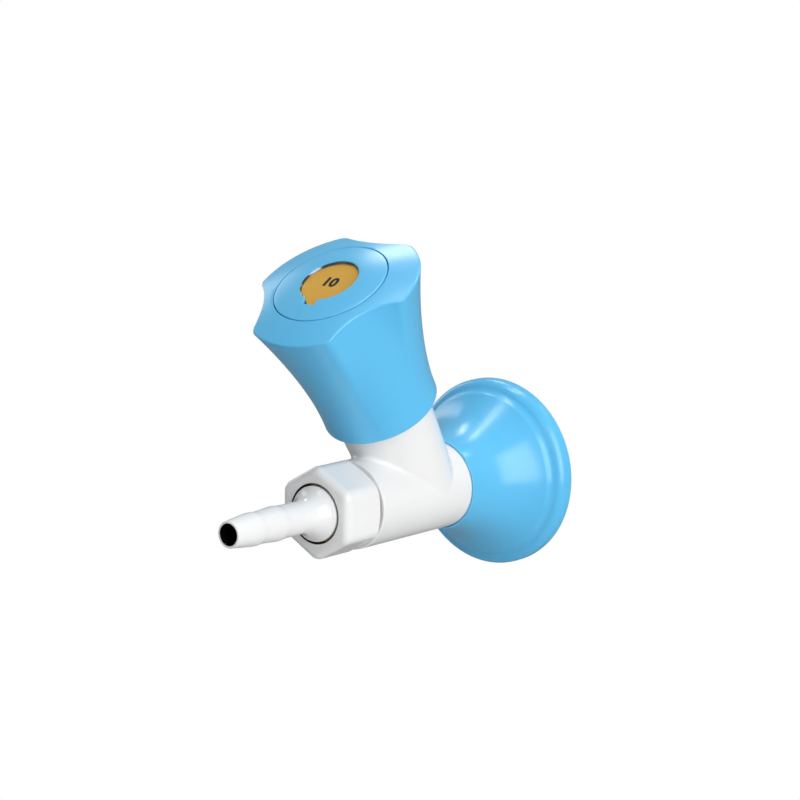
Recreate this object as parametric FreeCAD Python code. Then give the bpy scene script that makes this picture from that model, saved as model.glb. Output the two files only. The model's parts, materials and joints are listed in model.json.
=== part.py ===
import FreeCAD, Part
import math
import os

# Wall-mounted compressed air tap: a straight coated brass body with a slanted headwork, a
# three-lobed knob, a trumpet-shaped wall flange and a barbed hose nozzle under a union nut.
#
# Frame, in millimetres: the wall is the plane Y = 0, +Y goes into the wall and +Z is up.
# s is the distance from the wall along the outlet axis, which runs towards -Y.
# h is the distance along the knob axis from the point where it crosses the outlet axis.

# Axes
crossing_s = 38.2           # the knob axis crosses the outlet axis this far from the wall
knob_tilt = 31.5            # degrees from vertical, towards the nozzle

# Clearances
running = 0.05              # radial, threads and guides that turn or slide
bearing = 0.08              # radial, spindle barrel in the bonnet
seal_play = 0.05            # radial, a ring seal that moves along its bore
end_play = 0.10             # axial, pieces that turn against each other
free_gap = 0.30             # pieces that pass each other
fixed_fit = 0.02            # radial, pieces that are screwed or pressed home

# Body
tube_r = 12.3
tube_end_s = 67.2           # front face of the tube, behind the union nut
tube_round = 0.4            # its soft front edge
boss_top_h = 33.0           # the slanted boss ends inside the knob
boss_top_r = 13.5
boss_root_inset = 0.1       # the boss is this much slimmer than the tube where the axes cross
crease_blend = 1.2          # cast fillet where boss and tube meet
passage_r = 3.5             # inlet passage
outlet_passage_r = 4.0
passage_wall = 0.6          # least metal between the seat pocket and the outlet passage

# Inlet, G 1/2 male
inlet_r = 10.48
inlet_length = 14.0         # behind the wall plane
thread_chamfer = 1.0
relief_depth = 1.3          # turned relief between thread and hexagon, below the thread's root
relief_length = 2.0         # ends at the wall plane
wrench_af = 27.0
wrench_length = 7.0
gasket_thickness = 2.0
gasket_r = 14.6

# Outlet spigot, M18 x 1, and its plug-in socket
spigot_r = 8.95
spigot_length = 10.6
socket_r = 6.1
socket_depth = 7.5

# Wall flange
flange_r = 27.0
flange_depth = 28.0         # from the wall to the tip of its neck
flange_fit = 0.15           # radial, neck over tube
neck_lip = 0.5              # wall at the neck's tip
neck_length = 6.5           # straight bore of the neck
waist_s, waist_r = 14.5, 16.9
ridge_s, ridge_r = 7.0, 23.2
cove_s, cove_r = 5.1, 25.2  # where the rounded rim meets the cove under the ridge
cove_hollow = 0.25
rim_s = 2.3                 # where the rim's straight edge starts to round over
rim_wall = 2.0
shell_wall = 1.5
grip_setback = 3.8          # from the neck's tip back to the ring seal that grips it
grip_groove = 1.1           # depth of its groove in the tube

# Seat and chamber, along the knob axis
chamber_h = 6.0             # chamber floor
chamber_r = 7.5
chamber_top_h = 13.0
seat_pocket = 1.8
seat_r = 5.0
seat_bore_r = 2.6
seat_lip = 1.0              # raised lip above the chamber floor
seat_lip_wall = 0.8

# Plunger and its lifting thread
lift_turns = 4              # knob turns from closed to open
lift_pitch = 1.0            # left-hand, so the knob opens anticlockwise
seal_thickness = 3.5
seal_r = 4.6
seal_recess = 2.0
head_r = 6.0
head_length = 3.9
guide_af = 9.5
guide_length = 10.0
stud_r = 2.95
stud_length = 11.5
needle_shank_r = 1.5
needle_shank = 9.0
needle_top_r = 2.48
needle_tip_r = 1.3
needle_collar = 1.3
needle_cone = 4.0

# Bonnet
bonnet_thread_r = 10.0
bonnet_thread = 11.0        # length of the threaded bore in the boss
bonnet_seal_r = 8.5
bonnet_af = 24.0
collar_height = 5.0
bonnet_neck_r = 9.0
bonnet_recess_r = 6.3
groove_width = 1.9
bonnet_groove = 1.4         # depth
bonnet_groove_h = 19.3
gland_r = 7.5
gland_length = 6.5
gland_slot = 1.6

# Spindle
barrel_r = 6.42
barrel_length = 10.2
spindle_groove = 1.3
spindle_neck_r = 4.5
square_af = 6.2
square_length = 12.6
washer_thickness = 1.2      # slip ring over the barrel

# Knob
knob_bottom_h = 29.8
knob_bottom_r = 16.3
knob_straight = 3.2         # round foot before the lobes begin
knob_apex_h = 74.3
dome_r = 87.0
lobe_r = 24.75              # at the rim
scallop_r = 19.4
lobes = 3
lobe_angle = 30.0           # first lobe, from +X towards the wall
scallop_half = 27.0         # half the angle that a scallop takes
corner_blend = 4.0          # extra angle taken by the rounded corner
lobe_flare = 1.62           # exponents of the outward flare
scallop_flare = 1.2
foot_round = 1.6
rim_round = 0.5
mouth_r = 14.4
web_rise, web_thickness = 4.0, 4.0  # the web starts this far above the hub's lower end
hub_r = 10.0
hub_bottom_gap = 2.4        # above the bonnet
well_r = 15.0               # hollow under the cap ring
insert_r = 7.0
square_fit = 0.05

# Knob screw, M4, and washer
screw_r = 1.95
screw_length = 9.4
screw_head_r = 3.5
screw_head = 2.5
recess_width = 1.1
recess_depth = 1.3
washer_r = 4.5
washer_height = 0.8
screw_hole_depth = 10.0

# Cap ring and index disc
cap_r = 16.05
cap_gap = 0.25              # the fine groove round the cap ring
cap_floor_h = 69.8
window_r = 8.4
disc_recess = 0.85          # disc face below the window's edge
disc_thickness = 1.6
disc_gap = 0.12
disc_ledge = 1.5
key_angle = -91.0           # of the disc's key tab, from +X towards the wall
key_reach = 10.4            # radius of the notch's end
key_side = 2.05             # its straight side lies this far from the key's middle line
notch_width = 4.95          # at the window
notch_narrow = 1.2          # narrower than that at its end
tab_width = 5.25            # at its root
tab_narrow = 2.85           # narrower than that at its end
clips = 3
clip_r = 14.7
clip_wall = 1.5
clip_length = 5.0
clip_hook = 0.6
clip_hook_height = 1.2
clip_spread = 34.0          # degrees

# Union nut
nut_af = 23.0
nut_lip = 2.5               # in front of the nozzle's plug flange
nut_back_gap = 0.6
nut_corner_round = 3.2      # the hexagon's upright edges
nut_front_round = 2.0
nut_back_cone = 1.3         # how far a turned cone reaches where it trims the corners behind
nut_hole_r = 8.35

# Hose nozzle, in front of the union nut
nozzle_length = 34.8
nozzle_bore_r = 3.0
tip_r = 3.65
tip_round = 0.45
barb_setback = (9.5, 18.7)  # largest place of each barb, behind the tip
barb_r = (4.65, 4.85)
barb_step = 0.7             # length of the step behind a barb
waist_barb_r = 4.25
stem_r = 4.5
stem_flare = 8.4            # length over which the stem widens into the collar
collar_r = 7.65
collar_edge = 0.35          # straight edge of the collar, in front of the nut
plug_flange_r = 8.85
plug_flange = 1.6           # thickness, held between nut and spigot
plug_r = 6.03
plug_length = 7.0
plug_groove_setback = 3.2   # seal groove's middle, behind the spigot's end
plug_groove = 1.2

# Derived places
tilt = math.radians(knob_tilt)
lift = lift_turns * lift_pitch
grip_s = flange_depth - grip_setback
spigot_end_s = tube_end_s + spigot_length
hex_top_s = gasket_thickness + wrench_length
outlet_start_s = crossing_s + (seat_r + passage_wall + outlet_passage_r * math.sin(tilt)) / math.cos(tilt)
lip_h = chamber_h + seat_lip
seal_h = lip_h + end_play
head_h = seal_h + seal_thickness - seal_recess
guide_h = head_h + head_length
stud_h = guide_h + guide_length
bonnet_h = chamber_top_h + 0.2
bonnet_recess_h = guide_h + lift + 0.5
spindle_seat_h = stud_h + lift + 0.8
spindle_h = spindle_seat_h + free_gap
barrel_top_h = spindle_h + barrel_length
washer_h = barrel_top_h + end_play
gland_h = washer_h + washer_thickness
bonnet_top_h = gland_h + gland_length
square_h = bonnet_top_h + 0.9
spindle_top_h = square_h + square_length
hub_h = bonnet_top_h + hub_bottom_gap
hub_top_h = spindle_top_h + 0.4
web_h = hub_h + web_rise
bonnet_bore_r = barrel_r + bearing
guide_hole_af = guide_af + 2 * running
stud_bore_r = stud_r + running
nut_bore_r = spigot_r + running
nut_back_s = tube_end_s + nut_back_gap
plug_flange_s = spigot_end_s + end_play
plug_front_s = plug_flange_s + plug_flange
nut_lip_s = plug_front_s + end_play
plug_back_s = spigot_end_s - plug_length
plug_groove_s = spigot_end_s - plug_groove_setback
nut_face_s = nut_lip_s + nut_lip
stem_s = nut_face_s + stem_flare
nozzle_tip_s = nut_face_s + nozzle_length
neck_bore_r = tube_r + flange_fit


def dome(r):
    """Height of the knob's domed top at radius r."""
    return knob_apex_h - dome_r + math.sqrt(dome_r ** 2 - r ** 2)


# Building blocks, all about local Z

def point(r, z, angle=0.0):
    a = math.radians(angle)
    return FreeCAD.Vector(r * math.cos(a), r * math.sin(a), z)


def turned(start, *steps):
    """Solid of revolution; each step is the next (r, z), or a pair: a point passed and the arc's end."""
    edges, here = [], point(*start)
    for step in steps + (start,):
        if isinstance(step[0], tuple):
            through, end = point(*step[0]), point(*step[1])
            edges.append(Part.Arc(here, through, end).toShape())
        else:
            end = point(*step)
            edges.append(Part.LineSegment(here, end).toShape())
        here = end
    return Part.Face(Part.Wire(edges)).revolve(FreeCAD.Vector(), FreeCAD.Vector(0, 0, 1), 360)


def rod(r, z0, z1):
    return Part.makeCylinder(r, z1 - z0, FreeCAD.Vector(0, 0, z0))


def ring(r_in, r_out, z0, z1):
    return rod(r_out, z0, z1).cut(rod(r_in, z0, z1))


def prism(sides, across_flats, z0, z1, turn=0.0):
    """Regular prism with a corner at angle turn."""
    r = across_flats / 2 / math.cos(math.pi / sides)
    corners = [point(r, z0, turn + 360 * i / sides) for i in range(sides + 1)]
    return Part.Face(Part.makePolygon(corners)).extrude(FreeCAD.Vector(0, 0, z1 - z0))


def bar(width, r0, r1, z0, z1, angle):
    """Radial bar from r0 to r1."""
    block = Part.makeBox(r1 - r0, width, z1 - z0, FreeCAD.Vector(r0, -width / 2, z0))
    return block.rotate(FreeCAD.Vector(), FreeCAD.Vector(0, 0, 1), angle)


def seal_ring(r_in, r_out, z):
    """Round-section ring between two radii, centred on z."""
    section = (r_out - r_in) / 2
    return Part.makeTorus(r_in + section, section, FreeCAD.Vector(0, 0, z), FreeCAD.Vector(0, 0, 1))


def groove(depth, r, z):
    """What a ring groove of the common width takes out of a shaft of radius r."""
    return ring(r - depth, r + 1, z - groove_width / 2, z + groove_width / 2)


def on_outlet(shape):
    shape.Placement = FreeCAD.Placement(
        FreeCAD.Vector(), FreeCAD.Rotation(FreeCAD.Vector(1, 0, 0), 90))
    return shape


def on_knob(shape):
    shape.Placement = FreeCAD.Placement(
        FreeCAD.Vector(0, -crossing_s, 0), FreeCAD.Rotation(FreeCAD.Vector(1, 0, 0), knob_tilt))
    return shape


# Pieces that stay with the wall

def between(shape, edge, *kinds):
    """True if the edge lies between a face of each kind of surface, however the boss and tube are cut."""
    faces = shape.ancestorsOfType(edge, Part.Face)
    return edge.Length > boss_top_r and all(any(isinstance(f.Surface, k) for f in faces) for k in kinds)


def valve_body():
    relief_r = inlet_r - relief_depth
    stub = turned(
        (0, -inlet_length), (inlet_r - thread_chamfer, -inlet_length),
        (inlet_r, thread_chamfer - inlet_length), (inlet_r, gasket_thickness - relief_length),
        (relief_r, gasket_thickness - relief_length), (relief_r, gasket_thickness + 1),
        (0, gasket_thickness + 1))
    tube = turned(
        (0, hex_top_s - 1), (tube_r, hex_top_s - 1), (tube_r, tube_end_s - tube_round),
        ((tube_r - tube_round * 0.29, tube_end_s - tube_round * 0.29), (tube_r - tube_round, tube_end_s)),
        (0, tube_end_s)).cut(groove(grip_groove, tube_r, grip_s))
    spigot = turned(
        (0, tube_end_s - 1), (spigot_r, tube_end_s - 1), (spigot_r, spigot_end_s - thread_chamfer),
        (spigot_r - thread_chamfer, spigot_end_s), (0, spigot_end_s))
    corner_r = wrench_af / math.sqrt(3)
    wrench = prism(6, wrench_af, gasket_thickness, hex_top_s, 90).common(turned(
        (0, gasket_thickness), (wrench_af / 2, gasket_thickness), (corner_r, gasket_thickness + 1),
        (corner_r, hex_top_s - 1), (wrench_af / 2, hex_top_s), (0, hex_top_s)))
    body = on_outlet(stub.multiFuse([wrench, tube, spigot]))
    boss = on_knob(Part.makeCone(tube_r - boss_root_inset, boss_top_r, boss_top_h))
    body = body.fuse(boss)
    creases = [e for e in body.Edges if between(body, e, Part.Cylinder, Part.Cone)]
    body = body.makeFillet(crease_blend, creases)

    inlet = rod(passage_r, -inlet_length, crossing_s)
    outlet = rod(outlet_passage_r, outlet_start_s, spigot_end_s)
    socket = turned(
        (0, spigot_end_s - socket_depth), (socket_r, spigot_end_s - socket_depth),
        (socket_r, spigot_end_s - 0.6), (socket_r + 0.6, spigot_end_s), (0, spigot_end_s))
    thread_start_h = boss_top_h - bonnet_thread
    chamber = turned(
        (0, chamber_h - seat_pocket), (seat_r, chamber_h - seat_pocket), (seat_r, chamber_h),
        (chamber_r, chamber_h), (chamber_r, chamber_top_h), (bonnet_seal_r, chamber_top_h),
        (bonnet_seal_r, thread_start_h), (bonnet_thread_r, thread_start_h + 1),
        (bonnet_thread_r, boss_top_h), (0, boss_top_h))
    throat = rod(seat_bore_r, -seat_bore_r, chamber_h)
    return body.cut(on_outlet(inlet.multiFuse([outlet, socket]))).cut(on_knob(chamber.fuse(throat)))


def wall_flange():
    back_r = flange_r - rim_wall
    rim_width, rim_height = flange_r - cove_r, cove_s - rim_s
    rim_arc = (rim_width ** 2 + rim_height ** 2) / (2 * rim_width)
    half = math.atan2(rim_width, rim_height)
    rim_mid = (flange_r - rim_arc * (1 - math.cos(half)), rim_s + rim_arc * math.sin(half))
    cove_mid = ((cove_r + ridge_r) / 2 - cove_hollow, (cove_s + ridge_s) / 2 - cove_hollow)
    return on_outlet(turned(
        (back_r, 0), (flange_r, 0), (flange_r, rim_s), (rim_mid, (cove_r, cove_s)),
        (cove_mid, (ridge_r, ridge_s)),
        ((waist_r, waist_s), (neck_bore_r + neck_lip, flange_depth)),
        (neck_bore_r, flange_depth), (neck_bore_r, flange_depth - neck_length),
        ((waist_r - shell_wall * 0.75, waist_s - shell_wall), (ridge_r - shell_wall, ridge_s - shell_wall)),
        (back_r, rim_s)))


def inlet_gasket():
    return on_outlet(ring(inlet_r + 0.1, gasket_r, 0, gasket_thickness))


def flange_o_ring():
    return on_outlet(seal_ring(tube_r - grip_groove, neck_bore_r, grip_s))


def seat_ring():
    pocket_h = chamber_h - seat_pocket
    lip_r = seat_bore_r + seat_lip_wall
    return on_knob(turned(
        (seat_bore_r, pocket_h), (seat_r - fixed_fit, pocket_h), (seat_r - fixed_fit, chamber_h),
        (lip_r + 0.3, chamber_h), (lip_r, lip_h - 0.3),
        ((lip_r - 0.1, lip_h - 0.1), (lip_r - 0.3, lip_h)), (seat_bore_r, lip_h)))


def bonnet():
    thread_start_h = boss_top_h - bonnet_thread
    collar_top_h = boss_top_h + collar_height
    corner_r = bonnet_af / math.sqrt(3)
    skirt_r, thread_r = bonnet_seal_r - running, bonnet_thread_r - fixed_fit
    round_part = turned(
        (0, bonnet_h), (skirt_r - 0.5, bonnet_h), (skirt_r, bonnet_h + 0.5),
        (skirt_r, thread_start_h + 0.2), (thread_r, thread_start_h + 1.8), (thread_r, boss_top_h),
        (bonnet_neck_r, boss_top_h), (bonnet_neck_r, bonnet_top_h - 0.4),
        (bonnet_neck_r - 0.4, bonnet_top_h), (0, bonnet_top_h))
    collar = prism(6, bonnet_af, boss_top_h, collar_top_h).common(turned(
        (0, boss_top_h), (corner_r, boss_top_h), (corner_r, collar_top_h - 0.9),
        (bonnet_af / 2 - 0.4, collar_top_h), (0, collar_top_h)))
    bore = turned(
        (0, spindle_seat_h), (bonnet_bore_r, spindle_seat_h), (bonnet_bore_r, gland_h - 0.1),
        (gland_r, gland_h - 0.1), (gland_r, bonnet_top_h), (0, bonnet_top_h))
    recess = rod(bonnet_recess_r, bonnet_h, bonnet_recess_h)
    guide = prism(6, guide_hole_af, bonnet_recess_h, spindle_seat_h)
    seal_groove = groove(bonnet_groove, bonnet_seal_r, bonnet_groove_h)
    return on_knob(round_part.fuse(collar).cut(bore.multiFuse([recess, guide, seal_groove])))


def bonnet_o_ring():
    return on_knob(seal_ring(bonnet_seal_r - bonnet_groove, bonnet_seal_r, bonnet_groove_h))


def gland_nut():
    nut = ring(spindle_neck_r + running, gland_r - fixed_fit, gland_h, bonnet_top_h)
    slots = [bar(gland_slot, -gland_r, gland_r, bonnet_top_h - 1.5, bonnet_top_h, a) for a in (0, 90)]
    return on_knob(nut.cut(slots[0].fuse(slots[1])))


def thrust_washer():
    return on_knob(ring(spindle_neck_r + 0.1, barrel_r, washer_h, gland_h))


# Pieces that turn with the knob

spindle_seals_h = (spindle_h + 3.4, spindle_h + 7.0)


def spindle():
    barrel = turned(
        (0, spindle_h), (barrel_r - 0.3, spindle_h), (barrel_r, spindle_h + 0.3),
        (barrel_r, barrel_top_h), (spindle_neck_r, barrel_top_h),
        (spindle_neck_r, square_h), (0, square_h))
    square = prism(4, square_af, square_h, spindle_top_h, 45)
    stud_bore = rod(stud_bore_r, spindle_h, stud_h + stud_length + lift + 0.8)
    tapped = rod(screw_r + fixed_fit, spindle_top_h - screw_hole_depth, spindle_top_h)
    grooves = [groove(spindle_groove, barrel_r, h) for h in spindle_seals_h]
    return on_knob(barrel.fuse(square).cut(stud_bore.multiFuse([tapped] + grooves)))


def spindle_o_rings():
    inner = barrel_r - spindle_groove
    rings = [seal_ring(inner, bonnet_bore_r - seal_play, h) for h in spindle_seals_h]
    return on_knob(Part.makeCompound(rings))


def knob_section(h):
    """Closed outline of the knob at height h: lobe, corner, scallop and corner, three times round."""
    rise = max(0.0, h - knob_bottom_h - knob_straight)
    u = rise / (dome(lobe_r) - knob_bottom_h - knob_straight)
    outer = knob_bottom_r + (lobe_r - knob_bottom_r) * u ** lobe_flare
    inner = knob_bottom_r + (scallop_r - knob_bottom_r) * u ** scallop_flare
    blend = scallop_half + corner_blend
    round_section = u == 0
    if not round_section:
        half = math.radians(scallop_half)
        reach = math.radians(blend)
        sag = outer * math.cos(half) - inner
        hollow = ((outer * math.sin(half)) ** 2 + sag ** 2) / (2 * sag)
        centre = inner + hollow
        corner = ((outer ** 2 + centre ** 2 - 2 * outer * centre * math.cos(reach) - hollow ** 2)
                  / (2 * (hollow + outer - centre * math.cos(reach))))
    edges = []
    step = 360 / lobes
    for i in range(lobes):
        middle = lobe_angle + step * (i + 0.5)

        def at(r, offset):
            return point(r, h, middle + offset)

        if round_section:
            inside = blend - 2 * corner_blend
            sides = {sign: (at(outer, sign * (inside + corner_blend)), at(outer, sign * inside))
                     for sign in (-1, 1)}
        else:
            sides = {}
            for sign in (-1, 1):
                pivot = at(outer - corner, sign * blend)
                hub = at(centre, 0)
                away = (pivot - at(0, 0)).normalize()
                inward = (hub - pivot).normalize() * math.copysign(1, hollow)
                bisector = (away + inward).normalize()
                sides[sign] = (pivot + bisector * corner, pivot + inward * corner)
        lobe_end, lobe_start = at(outer, -blend), at(outer, blend)
        edges += [
            Part.Arc(lobe_end, sides[-1][0], sides[-1][1]).toShape(),
            Part.Arc(sides[-1][1], at(inner, 0), sides[1][1]).toShape(),
            Part.Arc(sides[1][1], sides[1][0], lobe_start).toShape(),
            Part.Arc(lobe_start, at(outer, step / 2), at(outer, step - blend)).toShape()]
    return Part.Wire(edges)


def on_rim(p):
    r = math.hypot(p.x, p.y)
    return r > cap_r and abs(p.z - dome(r)) < 0.01


def knob_shell():
    foot_top_h = knob_bottom_h + knob_straight
    levels = 7
    reach = knob_apex_h + 1 - foot_top_h
    sections = [knob_section(foot_top_h + reach * i / levels) for i in range(levels + 1)]
    foot_mid = foot_round * (1 - math.sqrt(0.5))
    foot = turned(
        (0, knob_bottom_h), (knob_bottom_r - foot_round, knob_bottom_h),
        ((knob_bottom_r - foot_mid, knob_bottom_h + foot_mid),
         (knob_bottom_r, knob_bottom_h + foot_round)),
        (knob_bottom_r, foot_top_h), (0, foot_top_h))
    blank = Part.makeLoft(sections, True, False).fuse(foot)
    blank = blank.common(Part.makeSphere(dome_r, FreeCAD.Vector(0, 0, knob_apex_h - dome_r)))
    rim = [e for e in blank.Edges if all(on_rim(v.Point) for v in e.Vertexes)]
    blank = blank.makeFillet(rim_round, rim)

    floor_h = web_h + web_thickness
    hook_top_h = cap_floor_h - clip_length + clip_hook_height
    mouth = ring(hub_r, mouth_r, hub_h, web_h).fuse(rod(mouth_r, knob_bottom_h, hub_h))
    well = turned(
        (hub_r, floor_h), (well_r, floor_h), (well_r, hook_top_h - clip_hook_height - 0.2),
        (well_r + clip_hook, hook_top_h - clip_hook_height - 0.2), (well_r + clip_hook, hook_top_h + 0.1),
        (well_r, hook_top_h + 0.1), (well_r, cap_floor_h), (cap_r + cap_gap, cap_floor_h),
        (cap_r + cap_gap, knob_apex_h), (0, knob_apex_h), (0, hub_top_h), (hub_r, hub_top_h))
    return on_knob(blank.cut(mouth).cut(well).cut(rod(insert_r, hub_h, hub_top_h)))


def knob_insert():
    hub = rod(insert_r - fixed_fit, hub_h, hub_top_h)
    return on_knob(hub.cut(prism(4, square_af + 2 * square_fit, hub_h, hub_top_h, 45)))


def knob_washer():
    return on_knob(ring(screw_r + 0.2, washer_r, hub_top_h, hub_top_h + washer_height))


def knob_screw():
    under_h = hub_top_h + washer_height
    top_h = under_h + screw_head
    screw = turned(
        (0, under_h - screw_length), (screw_r - 0.4, under_h - screw_length),
        (screw_r, under_h - screw_length + 0.4), (screw_r, under_h), (screw_head_r, under_h),
        (screw_head_r, top_h - 1.2), ((screw_head_r - 0.35, top_h - 0.35), (screw_head_r - 1.2, top_h)),
        (0, top_h))
    recess = [bar(recess_width, -2.1, 2.1, top_h - recess_depth, top_h, a) for a in (0, 90)]
    return on_knob(screw.cut(recess[0].fuse(recess[1])))


disc_top_h = dome(window_r) - disc_recess
disc_floor_h = disc_top_h - disc_thickness


def key(width, narrow, reach, side, z0, z1):
    """Flat key with one straight side; the other side closes in on it towards the end."""
    root = window_r - 1
    outline = [(0, side), (0, side - width), (root, side - width), (reach, side - width + narrow),
               (reach, side)]
    corners = [FreeCAD.Vector(x, y, z0) for x, y in outline + outline[:1]]
    shape = Part.Face(Part.makePolygon(corners)).extrude(FreeCAD.Vector(0, 0, z1 - z0))
    return shape.rotate(FreeCAD.Vector(), FreeCAD.Vector(0, 0, 1), key_angle)


def cap_ring():
    blank = rod(cap_r, cap_floor_h, knob_apex_h).common(
        Part.makeSphere(dome_r, FreeCAD.Vector(0, 0, knob_apex_h - dome_r)))
    opening = rod(window_r, disc_floor_h, knob_apex_h).fuse(
        rod(window_r - disc_ledge, cap_floor_h, disc_floor_h))
    notch = key(notch_width, notch_narrow, key_reach, key_side, disc_floor_h, knob_apex_h)
    blank = blank.cut(opening.fuse(notch))
    hook_h = cap_floor_h - clip_length
    clip = turned(
        (clip_r - clip_wall, hook_h), (clip_r + clip_hook, hook_h),
        (clip_r + clip_hook, hook_h + clip_hook_height / 2), (clip_r, hook_h + clip_hook_height),
        (clip_r, cap_floor_h), (clip_r - clip_wall, cap_floor_h))
    span = clip_r + 2
    wedge = Part.Face(Part.makePolygon([
        point(0, hook_h), point(2 * span, hook_h, -clip_spread / 2),
        point(2 * span, hook_h, clip_spread / 2), point(0, hook_h)])).extrude(
            FreeCAD.Vector(0, 0, clip_length))
    prong = clip.common(wedge)
    prongs = []
    for i in range(clips):
        copy = prong.copy()
        copy.rotate(FreeCAD.Vector(), FreeCAD.Vector(0, 0, 1), 360 * i / clips + lobe_angle)
        prongs.append(copy)
    return on_knob(blank.multiFuse(prongs))


def index_disc():
    disc = rod(window_r - disc_gap, disc_floor_h, disc_top_h)
    tab = key(tab_width, tab_narrow, key_reach - disc_gap, key_side - disc_gap, disc_floor_h, disc_top_h)
    return on_knob(disc.fuse(tab))


# Pieces that rise and fall in the bonnet

def plunger():
    body = rod(head_r, head_h, guide_h).fuse(prism(6, guide_af, guide_h, stud_h)).fuse(turned(
        (0, stud_h), (stud_r, stud_h), (stud_r, stud_h + stud_length - 0.5),
        (stud_r - 0.5, stud_h + stud_length), (0, stud_h + stud_length)))
    recess = rod(seal_r + fixed_fit, head_h, head_h + seal_recess)
    tapped = rod(needle_shank_r + fixed_fit, head_h, seal_h + needle_shank + 0.5)
    return on_knob(body.cut(recess.fuse(tapped)))


def seat_seal():
    return on_knob(ring(needle_shank_r + fixed_fit, seal_r, seal_h, seal_h + seal_thickness))


def needle():
    collar_h = seal_h - needle_collar
    return on_knob(turned(
        (0, collar_h - needle_cone), (needle_tip_r, collar_h - needle_cone), (needle_top_r, collar_h),
        (needle_top_r, seal_h), (needle_shank_r, seal_h), (needle_shank_r, seal_h + needle_shank),
        (0, seal_h + needle_shank)))


# Outlet pieces

def hose_nozzle():
    collar_s = nut_face_s + collar_edge
    outline = [(nozzle_bore_r, nozzle_tip_s), (tip_r - tip_round, nozzle_tip_s),
               ((tip_r - tip_round * 0.29, nozzle_tip_s - tip_round * 0.29),
                (tip_r, nozzle_tip_s - tip_round))]
    for setback, r, behind in zip(barb_setback, barb_r, (waist_barb_r, stem_r)):
        outline += [(r, nozzle_tip_s - setback), (behind, nozzle_tip_s - setback - barb_step)]
    drop = collar_r - stem_r
    run = stem_s - collar_s
    outline += [
        (stem_r, stem_s),
        ((stem_r + drop * 0.2, stem_s - run * 0.62), (stem_r + drop * 0.72, stem_s - run * 0.95)),
        (collar_r - 0.3, collar_s), (collar_r, collar_s - 0.3),
        (collar_r, plug_front_s), (plug_flange_r, plug_front_s), (plug_flange_r, plug_flange_s),
        (plug_r, plug_flange_s), (plug_r, plug_back_s + 0.5), (plug_r - 0.5, plug_back_s),
        (nozzle_bore_r, plug_back_s)]
    return on_outlet(turned(*outline).cut(groove(plug_groove, plug_r, plug_groove_s)))


def nozzle_o_ring():
    return on_outlet(seal_ring(plug_r - plug_groove, socket_r - seal_play / 2, plug_groove_s))


def union_nut():
    nut = prism(6, nut_af, nut_back_s, nut_face_s, 90)
    upright = [e for e in nut.Edges if abs(e.tangentAt(e.FirstParameter).z) > 0.5]
    nut = nut.makeFillet(nut_corner_round, upright)
    front = [e for e in nut.Edges if all(abs(v.Z - nut_face_s) < 0.001 for v in e.Vertexes)]
    nut = nut.makeFillet(nut_front_round, front)
    corner_r = nut_af / math.sqrt(3)
    nut = nut.common(turned(
        (0, nut_back_s), (nut_af / 2, nut_back_s), (corner_r, nut_back_s + nut_back_cone),
        (corner_r, nut_face_s), (0, nut_face_s)))
    bore = turned(
        (0, nut_back_s), (nut_bore_r + 0.5, nut_back_s), (nut_bore_r, nut_back_s + 0.5),
        (nut_bore_r, nut_lip_s), (nut_hole_r, nut_lip_s), (nut_hole_r, nut_face_s), (0, nut_face_s))
    return on_outlet(nut.cut(bore))


pieces = [
    valve_body, wall_flange, inlet_gasket, flange_o_ring, seat_ring, bonnet, bonnet_o_ring,
    gland_nut, thrust_washer, spindle, spindle_o_rings, knob_shell, knob_insert, knob_washer,
    knob_screw, cap_ring, index_disc, plunger, seat_seal, needle, hose_nozzle, nozzle_o_ring,
    union_nut]

os.makedirs("parts", exist_ok=True)
for piece in pieces:
    shape = piece()
    box = shape.BoundBox
    print("%-16s solids %d valid %s volume %9.2f  size %.1f x %.1f x %.1f" % (
        piece.__name__, len(shape.Solids), shape.isValid(), shape.Volume,
        box.XLength, box.YLength, box.ZLength))
    shape.exportStep("parts/" + piece.__name__ + ".step")
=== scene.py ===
# %% [markdown]
# # A compressed air tap for a laboratory bench
# The tap is a straight brass body with a slanted knob, a trumpet-shaped flange against the wall, and
# a barbed nozzle for a hose under a union nut. This file dresses the engineering model, which comes
# in as a fixed frame: its pieces have the right place and size, and they carry the joints. Here each
# visible piece gets the shape and the finish that the eye expects.

# %% Load the frame
import json
import math

import bmesh
import bpy
from mathutils import Matrix, Vector

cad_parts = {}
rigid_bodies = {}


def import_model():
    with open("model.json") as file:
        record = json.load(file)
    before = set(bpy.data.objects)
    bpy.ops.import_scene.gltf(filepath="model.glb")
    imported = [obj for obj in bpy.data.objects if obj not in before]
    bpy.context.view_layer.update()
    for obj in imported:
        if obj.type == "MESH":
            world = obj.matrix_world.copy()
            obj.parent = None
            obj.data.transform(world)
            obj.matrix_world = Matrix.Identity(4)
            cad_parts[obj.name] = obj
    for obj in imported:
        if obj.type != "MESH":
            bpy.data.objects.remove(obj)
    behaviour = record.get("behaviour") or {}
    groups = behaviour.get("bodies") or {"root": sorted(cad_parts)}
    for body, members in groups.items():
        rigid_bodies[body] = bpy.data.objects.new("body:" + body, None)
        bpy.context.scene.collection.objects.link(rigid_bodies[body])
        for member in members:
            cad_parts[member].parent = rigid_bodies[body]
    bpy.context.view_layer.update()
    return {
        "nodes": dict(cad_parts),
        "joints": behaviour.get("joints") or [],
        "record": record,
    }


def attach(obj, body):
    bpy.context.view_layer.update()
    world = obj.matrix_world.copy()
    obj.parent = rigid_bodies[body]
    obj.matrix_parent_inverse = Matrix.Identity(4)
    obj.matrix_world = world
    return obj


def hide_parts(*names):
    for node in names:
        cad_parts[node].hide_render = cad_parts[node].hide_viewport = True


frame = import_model()

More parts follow.
